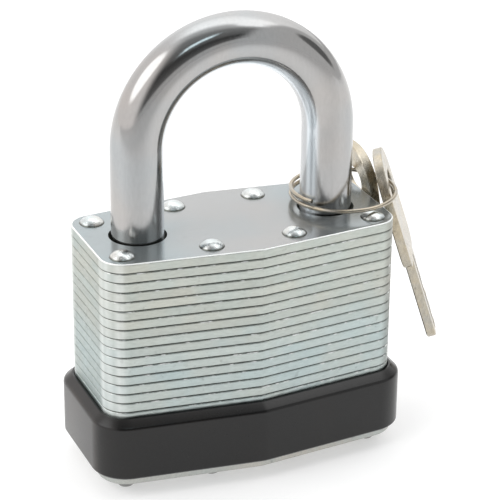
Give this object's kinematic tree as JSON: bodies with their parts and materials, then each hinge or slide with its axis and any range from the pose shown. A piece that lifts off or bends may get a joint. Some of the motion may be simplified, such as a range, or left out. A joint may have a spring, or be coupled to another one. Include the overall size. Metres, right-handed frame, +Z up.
{
  "type": "laminated padlock",
  "caption": "Laminated steel padlock with a round chromed shackle, riveted plate stack, black bumper base, pin cylinder, and a split ring with keys on the heel leg.",
  "frame": {"origin": "on the resting surface under the rivet feet, below the middle of the case", "axes": "+Z up through the shackle, +X along the case from the toe leg to the heel leg, +Y to the back"},
  "size_m": [0.0847, 0.0398, 0.0977],
  "materials": {
    "zinc_plate": "satin zinc plating",
    "rivet_steel": "bright zinc plating",
    "bumper_plastic": "satin moulded black",
    "shackle_chrome": "polished",
    "key_nickel": "warm nickel plating",
    "cylinder_brass": "machined",
    "pin_steel": "plain"
  },
  "bodies": {
    "case": {"bottom_plate": "zinc_plate", "plate_01": "zinc_plate", "plate_02": "zinc_plate", "plate_03": "zinc_plate", "plate_04": "zinc_plate", "plate_05": "zinc_plate", "plate_06": "zinc_plate", "plate_07": "zinc_plate", "plate_08": "zinc_plate", "plate_09": "zinc_plate", "plate_10": "zinc_plate", "plate_11": "zinc_plate", "plate_12": "zinc_plate", "plate_13": "zinc_plate", "plate_14": "zinc_plate", "plate_15": "zinc_plate", "plate_16": "zinc_plate", "plate_17": "zinc_plate", "plate_18": "zinc_plate", "plate_19": "zinc_plate", "plate_20": "zinc_plate", "plate_21": "zinc_plate", "plate_22": "zinc_plate", "top_plate": "zinc_plate", "rivets": "rivet_steel", "bumper": "bumper_plastic", "cylinder_shell": "cylinder_brass", "driver_pins": "pin_steel", "pin_springs": "pin_steel", "heel_pin": "pin_steel", "heel_spring": "pin_steel"},
    "shackle": {"shackle": "shackle_chrome"},
    "plug": {"plug": "cylinder_brass", "plug_clip": "pin_steel", "key_pins": "pin_steel", "drive_cam": "pin_steel"},
    "toe_lever": {"toe_lever": "pin_steel"},
    "heel_lever": {"heel_lever": "pin_steel"},
    "ring": {"split_ring": "key_nickel"},
    "key_1": {"key_1": "key_nickel"},
    "key_2": {"key_2": "key_nickel"}
  },
  "joints": [
    {"name": "shackle_lift", "type": "slide", "parent": "case", "child": "shackle", "axis": [0, 0, 1], "range_m": [0, 0.0145], "deforming": ["heel_spring"]},
    {"name": "plug_turn", "type": "hinge", "parent": "case", "child": "plug", "pos_m": [0, 0, 0.00425], "axis": [0, 0, 1], "range_deg": [0, 90]},
    {"name": "toe_lever_slide", "type": "slide", "parent": "case", "child": "toe_lever", "axis": [-1, 0, 0], "range_m": [0, 0.0024]},
    {"name": "heel_lever_slide", "type": "slide", "parent": "case", "child": "heel_lever", "axis": [1, 0, 0], "range_m": [0, 0.0024]},
    {"name": "ring_slide", "type": "slide", "parent": "case", "child": "ring", "axis": [0, 0, 1], "range_m": [0, 0.012]},
    {"name": "key_1_swing", "type": "hinge", "parent": "ring", "child": "key_1", "pos_m": [0.03708, 0.00363, 0.05483], "axis": [-0.4305, -0.9026, 0], "range_deg": [0, 10]},
    {"name": "key_2_swing", "type": "hinge", "parent": "ring", "child": "key_2", "pos_m": [0.03361, 0.00965, 0.05497], "axis": [0, -1, 0], "range_deg": [0, 10]}
  ],
  "couplings": [
    {"joint": "toe_lever_slide", "follows": "plug_turn", "m_per_rad": 0.0015305},
    {"joint": "heel_lever_slide", "follows": "plug_turn", "m_per_rad": 0.0015305},
    {"joint": "key_2_swing", "follows": "key_1_swing", "ratio": 1}
  ]
}
